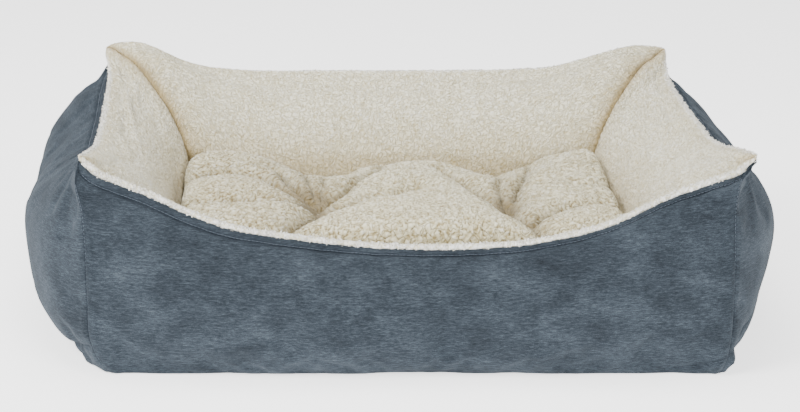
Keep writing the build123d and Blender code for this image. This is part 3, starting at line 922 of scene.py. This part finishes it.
# ---------------------------------------------------------------- cushion
def even_steps(count):
    """Shares from -1 to 1 that are evenly spaced along a boxy pillow's profile."""
    angle = np.linspace(-math.pi / 2, math.pi / 2, 4001)
    across = np.sin(angle) * CUSHION_Y
    rise = (1 - np.abs(np.sin(angle)) ** SHOULDER) ** (1 / SHOULDER) * (CUSHION_TOP - CUSHION_SEAM)
    run = np.concatenate([[0], np.cumsum(np.hypot(np.diff(across), np.diff(rise)))])
    return np.sin(np.interp(np.linspace(0, run[-1], count), run, angle))


def cushion_plan(rows, columns, squareness, flare):
    """How high the cushion's cover stands between its seam, 0, and its middle, 1; and its x and y."""
    s, t = np.meshgrid(even_steps(columns), even_steps(rows))
    rise = ((1 - np.abs(s) ** squareness) * (1 - np.abs(t) ** squareness)) ** (1 / squareness)
    wide = 1 + flare * rise
    return rise, CUSHION_X * s * wide * (1 - 0.02 * t ** 4), CUSHION_Y * t * wide * (1 - 0.02 * s ** 4)


def cushion_top(rows, columns):
    """Top of the cushion as a grid, drawn in at two tufts; how deep each point lies; and the painted shade
    along its folds and round its tufts.
    """
    rise, x, y = cushion_plan(rows, columns, SHOULDER, CUSHION_FLARE)
    sunk, crease_shade, folded = np.zeros((3,) + x.shape)
    for tuft_x, tuft_y in TUFTS:
        ahead = np.where(y < tuft_y, DIMPLE_AHEAD, 1.0)
        away = np.hypot(x - tuft_x, (y - tuft_y) * ahead)
        sunk += DIMPLE_DEPTH * np.exp(-away / DIMPLE_REACH)
        crease_shade += 0.8 * np.exp(-away / CREASE_SHADE_REACH)
    for depth, width, line in FOLDS:
        away = distance_to(line, x + 4 * noise(x, y, 40, 6), y + 4 * noise(x, y, 40, 7))
        folded += (depth * np.exp(-away / width)) ** FOLD_JOIN
        crease_shade += depth / CREASE_SHADE_FULL * np.exp(-away / CREASE_SHADE_WIDTH)
    sunk += folded ** (1 / FOLD_JOIN)
    sunk = SUNK_MOST * np.tanh(sunk / SUNK_MOST)
    drawn = level(BACK_EDGE, x).reshape(x.shape) * (1 - fade(y, BACK_FROM, CUSHION_Y))
    lumps = 2.5 * noise(x, y, 75, 3) + 1.5 * noise(x, y, 30, 4)
    lowered = np.maximum(sunk, drawn) + 0.35 * np.minimum(sunk, np.maximum(drawn, 0)) + np.minimum(drawn, 0)
    z = CUSHION_SEAM + rise * (CUSHION_TOP - CUSHION_SEAM + CUSHION_CROWN + lumps - lowered)
    return xyz(x, y, z), sunk, np.clip(crease_shade, 0, 1)


def cushion_under(rows, columns):
    """Underside of the cushion from its seam down, drawn up at the tufts."""
    rise, x, y = cushion_plan(rows, columns, 4, 0)
    drawn = sum(UNDER_DIMPLE * np.exp(-np.hypot(x - tuft_x, y - tuft_y) / 14) for tuft_x, tuft_y in TUFTS)
    return xyz(x, y, CUSHION_SEAM - rise * (CUSHION_SEAM - CUSHION_BOTTOM - drawn))


def cushion_panel():
    """The cushion's sherpa top, settled as cloth over its filling."""
    coarse, sunk, _ = cushion_top(*CUSHION_COARSE)
    held = held_edges(coarse, 1, 1)
    held[sunk > HELD_FROM] = 1
    fine = finer(settle(coarse, held, pressure=1.5, slack=0.03), *CUSHION_GRID)
    _, sunk, crease_shade = cushion_top(*CUSHION_GRID)
    # Painted shade: darker in the dimples and folds, and towards both ends beside the walls, most at the
    # left end.
    shaded = fade(fine[..., 0], -150, -60) + 0.25 * (1 - fade(fine[..., 0], 90, 180))
    shade = 0.35 * np.clip((sunk - 6) / 26, 0, 1) ** 1.3 + 0.72 * crease_shade + 0.17 * shaded
    raised, marks = roughen(fine, CUSHION_CURL, CUSHION_PILE, 71, 0 * shade, np.clip(shade, 0, 1))
    # At the ends the wool mark also gets more contrast, with darker painted shade in the cracks.
    marks["wool"] = marks["wool"] + shaded * (0.4 * marks["wool"] - 0.26)
    piece = sherpa_cloth("cushion_sherpa_top", fine, raised, marks)
    return finish_piece(piece, "cushion", CUSHION_SHERPA, ["cushion_top_panel"])


def cushion_underside():
    """The cushion's lower sherpa panel."""
    fine = cushion_under(*UNDER_GRID)[:, ::-1]
    flat = 1 - fade(fine[..., 2], CUSHION_BOTTOM + 6, CUSHION_BOTTOM + 20) * 0.7
    raised, marks = roughen(fine, CUSHION_CURL, UNDER_PILE * flat, 93, 0 * flat, 0 * flat)
    raised[..., 2] = np.maximum(raised[..., 2], DECK_TOP + 0.2)
    piece = sherpa_cloth("cushion_sherpa_underside", fine, raised, marks)
    return finish_piece(piece, "cushion", CUSHION_SHERPA, ["cushion_bottom_panel"])


# ---------------------------------------------------------------- filling
def bolster_filling(side):
    """Fibre filling of one bolster, a little smaller than its cover and lumpy."""
    outer, inner = outer_surface(side, *FILL_GRID), inner_surface(side, *FILL_GRID)
    outer = outer - normals(outer) * FILL_INSET
    inner = inner - normals(inner) * FILL_INSET
    ring = np.concatenate([outer[1:-2], inner[6:-1]])[:, 2:-2]
    round_it, along = np.indices(ring.shape[:2])
    lumps = 1 - 0.03 * (1 + noise(along * 14.0, round_it * 9.0, 30, 40 + SIDES.index(side)))
    middle = ring.mean(axis=0, keepdims=True)
    ring = middle + (ring - middle) * lumps[..., None]
    ring[..., 2] = np.maximum(ring[..., 2], FILL_INSET)
    around, count = ring.shape[:2]
    piece = make_mesh(f"{side}_fibre_filling", ring.transpose(1, 0, 2).reshape(-1, 3),
                      tube_faces(count, around))
    finish_piece(piece, "surround", FIBRE, [f"{side}_bolster_fill"])


def cushion_filling():
    """Fibre pad inside the cushion's cover."""
    inside = np.array([0.975, 0.965, 1.0])
    top = cushion_top(*CUSHION_FILL_GRID)[0] * inside - [0, 0, CUSHION_PILE + 4]
    under = cushion_under(*CUSHION_FILL_GRID) * inside + [0, 0, CUSHION_PILE + 2]
    piece = shell("cushion_fibre_filling", top, under, 1, {})
    finish_piece(piece, "cushion", FIBRE, ["cushion_fill"])


# ---------------------------------------------------------------- threads
def thread_points(line, radius, sides):
    """Rings of a thin thread round a line of points."""
    line = np.asarray(line, float)
    run = np.gradient(line, axis=0)
    run /= np.linalg.norm(run, axis=1, keepdims=True)
    guide = np.where(np.abs(run[:, 2:]) < 0.9, [[0.0, 0.0, 1.0]], [[1.0, 0.0, 0.0]])
    first = np.cross(run, guide)
    first /= np.linalg.norm(first, axis=1, keepdims=True)
    second = np.cross(run, first)
    angle = (np.arange(sides) * 2 * math.pi / sides)[None, :, None]
    return line[:, None] + radius * (np.cos(angle) * first[:, None] + np.sin(angle) * second[:, None])


def thread_mesh(name, lines, radius, sides=5):
    """One mesh of many separate threads."""
    threads = [thread_points(line, radius, sides) for line in lines]
    faces, first = [], 0
    for rings in threads:
        faces += tube_faces(len(rings), sides, first, flip=True)
        first += len(rings) * sides
    return make_mesh(name, np.concatenate(threads).reshape(-1, 3), faces)


def stitches(line, outward, length, lift):
    """Short arched stitches along a line that lies on cloth, given the cloth's outward normals."""
    outward = np.broadcast_to(outward, line.shape)
    steps = np.linalg.norm(np.diff(line, axis=0), axis=1)
    at = np.concatenate([[0], np.cumsum(steps)])
    rise = np.array([-0.5, 0.7, 1.0, 0.7, -0.5])[:, None] * lift
    made = []
    for start in np.arange(STITCH_GAP, at[-1] - length - STITCH_GAP, length + STITCH_GAP):
        where = start + np.array([0, 0.25, 0.5, 0.75, 1.0]) * length
        base, away = (np.stack([np.interp(where, at, values[:, k]) for k in range(3)], -1)
                      for values in (line, outward))
        made.append(base + away * rise)
    return made


def hem_stitches(panels):
    """The row of topstitching just below the rim on all four sides."""
    made = []
    for surface in panels.values():
        below = hem_line(surface)
        line, away = (np.array([[np.interp(HEM, below[::-1, c], values[::-1, c, k]) for k in range(3)]
                                for c in range(2, surface.shape[1] - 2)])
                      for values in (surface, normals(surface)))
        made += stitches(line, away, STITCH, STITCH_LIFT)
    piece = thread_mesh("rim_topstitches", made, THREAD_RADIUS)
    finish_piece(piece, "surround", BLUE_THREAD, ["rim_topstitching"])


def seam_stitches():
    """The ladder of thread that shows down each corner seam."""
    made = []
    for seam in CORNER_SEAMS.values():
        line = smooth(seam, np.linspace(0.02, 0.9, 80))
        away = np.sign(line) * [0.7, 0.7, 0.0]
        made += stitches(line - away * 0.6, away, STITCH, 0.4)
    piece = thread_mesh("corner_seam_stitches", made, THREAD_RADIUS * 0.8)
    finish_piece(piece, "surround", BLUE_THREAD, ["corner_seam_stitching"])


def zip_stitches():
    """The two rows of topstitching beside the zip and the bar across each end."""
    low, high = ZIP_MIDDLE.z - ZIP_STITCHED, ZIP_MIDDLE.z + ZIP_STITCHED
    x, z = np.linspace(ZIP_LEFT - 3, ZIP_RIGHT + 3, 120), np.linspace(low, high, 30)
    made = []
    for row in (low, high):
        made += stitches(xyz(x, zip_plane(row), row), (0.0, 1.0, 0.0), STITCH, STITCH_LIFT)
    for end in (x[0], x[-1]):
        made += stitches(xyz(end, zip_plane(z), z), (0.0, 1.0, 0.0), STITCH * 0.7, STITCH_LIFT)
    piece = thread_mesh("zip_topstitches", made, THREAD_RADIUS)
    finish_piece(piece, "surround", BLUE_THREAD)


def height_at(grid, x, y):
    """Height of a grid's point nearest to a place."""
    away = np.hypot(grid[..., 0] - x, grid[..., 1] - y)
    return grid[..., 2].flat[np.argmin(away)]


def tuft_threads():
    """Two twisted ties drawn through the cushion, each with a bar tack at top and bottom."""
    made = []
    top, under = cushion_top(201, 301)[0], cushion_under(201, 301)
    reach = np.linspace(-TACK_HALF, TACK_HALF, 7)
    for tuft_x, tuft_y in TUFTS:
        high, low = height_at(top, tuft_x, tuft_y), height_at(under, tuft_x, tuft_y)
        height = np.linspace(low - 1, high + 1, 60)
        for strand in range(3):
            turn = (height - low) / TIE_PITCH + strand * 2 * math.pi / 3
            made.append(xyz(tuft_x + TIE_TWIST * np.cos(turn), tuft_y + TIE_TWIST * np.sin(turn), height))
        for z in (high + TACK_OVER, low - TACK_UNDER):
            arch = z - 0.05 * reach ** 2 * math.copysign(1, z - TACK_MIDDLE)
            for row in TACK_ROWS:
                made.append(xyz(tuft_x + reach, tuft_y + row, arch))
    piece = thread_mesh("tuft_tie_threads", made, TIE_RADIUS, 6)
    finish_piece(piece, "cushion", CREAM_THREAD, ["tuft_ties"])


def zip_coils():
    """Two nylon coils, each a flattened helix sewn along the edge of its tape."""
    lean = math.radians(ZIP_LEAN)
    for name, way in (("upper", 1), ("lower", -1)):
        low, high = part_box(f"zip_coil_{name}")
        turns = int((high.x - low.x) / MM / COIL_PITCH)
        angle = np.linspace(0, turns * 2 * math.pi, turns * 12)
        up = 0.5 * (COIL_WIDTH - 2 * COIL_WIRE) * np.cos(angle)
        out = COIL_HALF_THICK * np.sin(angle) * 0.75
        x = low.x / MM + COIL_WIRE + angle / angle[-1] * ((high.x - low.x) / MM - 2 * COIL_WIRE)
        x = x + way * 0.3 * COIL_PITCH
        y = (low.y + high.y) / 2 / MM + out * math.cos(lean) - up * math.sin(lean)
        z = (low.z + high.z) / 2 / MM + up * math.cos(lean) + out * math.sin(lean)
        piece = thread_mesh(f"zip_coil_{name}_teeth", [xyz(x, y, z)], COIL_WIRE, 6)
        finish_piece(piece, "surround", COIL, [f"zip_coil_{name}"])


# ---------------------------------------------------------------- base and deck
def base_cloth(panels):
    """The base cloth inside the cover's lower edge, with a field of grip dots underneath."""
    edge = np.concatenate([panels[side][0, :-1] for side in ("front", "right", "rear", "left")])[::3, :2]
    size = np.linalg.norm(edge, axis=1, keepdims=True)
    edge = edge * (size - BASE_INSET) / size
    around = len(edge)
    share = np.arange(1, BASE_RINGS + 1)[:, None, None] / BASE_RINGS
    disc = np.concatenate([[[0.0, 0.0]], (edge * share).reshape(-1, 2)])
    layer = len(disc)
    p = np.arange(around)
    q = (p + 1) % around
    points, faces = [], []
    for start, height, way in ((0, BASE_DOTS, -1), (layer, BASE_DOTS + BASE_CLOTH_THICK, 1)):
        points.append(np.column_stack([disc, np.full(layer, height)]))
        ring = start + 1 + np.arange(BASE_RINGS - 1)[:, None] * around
        quads = np.stack([ring + p, ring + around + p, ring + around + q, ring + q], -1).reshape(-1, 4)
        middle = np.stack([start + 0 * p, start + 1 + p, start + 1 + q], -1)
        faces += quads[:, ::way].tolist() + middle[:, ::way].tolist()
    last = layer - around
    faces += np.stack([last + p, last + q, layer + last + q, layer + last + p], -1).tolist()
    cloth = make_mesh("base_cloth", np.concatenate(points), faces)
    finish_piece(cloth, "surround", BASE_CLOTH, ["non_slip_base"])
    grip_dots(edge)
    return cloth


def grip_dots(edge):
    """Rubber dots in staggered rows under the base cloth."""
    angles = np.arctan2(edge[:, 1], edge[:, 0])
    order = np.argsort(angles)
    angles, reach = angles[order], np.linalg.norm(edge, axis=1)[order]
    turn = np.arange(8) * math.pi / 4
    ring = xyz(np.cos(turn), np.sin(turn), 0) * DOT_RADIUS
    dot = np.concatenate([ring + [0, 0, BASE_DOTS], ring * 0.75 + [0, 0, 0.25 * BASE_DOTS], [[0, 0, 0]]])
    shape = [tuple(range(8))]
    for k in range(8):
        n = (k + 1) % 8
        shape += [(n, k, 8 + k, 8 + n), (8 + n, 8 + k, 16)]
    centres = []
    for row in range(-DOT_ROWS, DOT_ROWS + 1):
        for column in range(-DOT_COLUMNS, DOT_COLUMNS + 1):
            x, y = (column + 0.5 * (row % 2)) * DOT_PITCH, row * DOT_PITCH * math.sqrt(3) / 2
            limit = np.interp(math.atan2(y, x), angles, reach, period=2 * math.pi) - DOT_MARGIN
            if math.hypot(x, y) <= limit:
                centres.append((x, y, 0.0))
    points = (np.array(centres)[:, None] + dot).reshape(-1, 3)
    piece = make_mesh("base_grip_dots", points, copies(shape, len(centres), len(dot)))
    finish_piece(piece, "surround", RUBBER)


def deck_cloth():
    """The lining that the cushion lies on, slightly rippled."""
    low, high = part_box("deck_lining")
    x, y = np.meshgrid(np.linspace(low.x, high.x, 133) / MM, np.linspace(low.y, high.y, 83) / MM)
    ripple = 0.5 * noise(x, y, 60, 61) + 0.25 * noise(x, y, 22, 62)
    top = xyz(x, y, DECK_TOP - 0.6 + ripple * 0.7)
    piece = shell("deck_lining_cloth", top, top - [0, 0, 0.8], 1, {})
    return finish_piece(piece, "surround", LINING, ["deck_lining"])


# ---------------------------------------------------------------- camera, light and floor
def studio():
    """Camera at the front, slightly above, with soft light and a pale floor."""
    camera = bpy.data.cameras.new("camera")
    camera.lens = CAMERA_LENS
    camera.sensor_width = 36.0
    camera.shift_x = CAMERA_SHIFT
    camera.clip_start = 0.05
    holder = in_scene("camera", camera)
    holder.location = CAMERA_PLACE
    holder.rotation_euler = (math.radians(CAMERA_TILT), 0, 0)
    bpy.context.scene.camera = holder

    world = bpy.data.worlds.new("studio")
    world.use_nodes = True
    sky = world.node_tree.nodes["Background"].inputs
    sky["Color"].default_value = (1.0, 1.0, 1.0, 1.0)
    sky["Strength"].default_value = SKY_POWER
    bpy.context.scene.world = world

    for name, place, size, power in LIGHTS:
        lamp = bpy.data.lights.new(name, "AREA")
        lamp.size = size
        lamp.energy = power
        holder = in_scene(name, lamp)
        holder.location = place
        holder.rotation_euler = (Vector(LIT_POINT) - Vector(place)).to_track_quat("-Z", "Y").to_euler()

    corners = [(x * FLOOR_HALF, y * FLOOR_HALF, 0) for x, y in ((-1, -1), (1, -1), (1, 1), (-1, 1))]
    floor = make_mesh("studio_floor", corners, [(0, 1, 2, 3)])
    look = Shader("studio_floor", Roughness=0.9, Base_Color=colour(250, 250, 250),
                  Emission_Color=colour(255, 255, 255), Emission_Strength=1.8)
    floor.data.materials.append(look.material)
    floor.location.z = -0.0005


studio()
panels = {side: outer_panel(side) for side in SIDES}
walls = {side: wall_panel(side) for side in SIDES}
top_panel = cushion_panel()
under_panel = cushion_underside()
for side in SIDES:
    bolster_filling(side)
cushion_filling()
hem_stitches(panels)
seam_stitches()
tuft_threads()
base = base_cloth(panels)
deck = deck_cloth()
zip_coils()
zip_stitches()

# CAD parts whose shape is right keep it and take a better material
CARRIED = {"zip_tape_upper": TAPE, "zip_tape_lower": TAPE, "zip_top_stops": METAL,
           "zip_bottom_stop": METAL, "zip_slider": METAL, "zip_pull": METAL}
for node, look in CARRIED.items():
    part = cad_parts[node]
    part.data.materials.clear()
    part.data.materials.append(look)
    if look is METAL:
        rounded = part.modifiers.new("rounded_edges", "BEVEL")
        rounded.width = 0.00025
        rounded.segments = 3
        rounded.limit_method = "ANGLE"
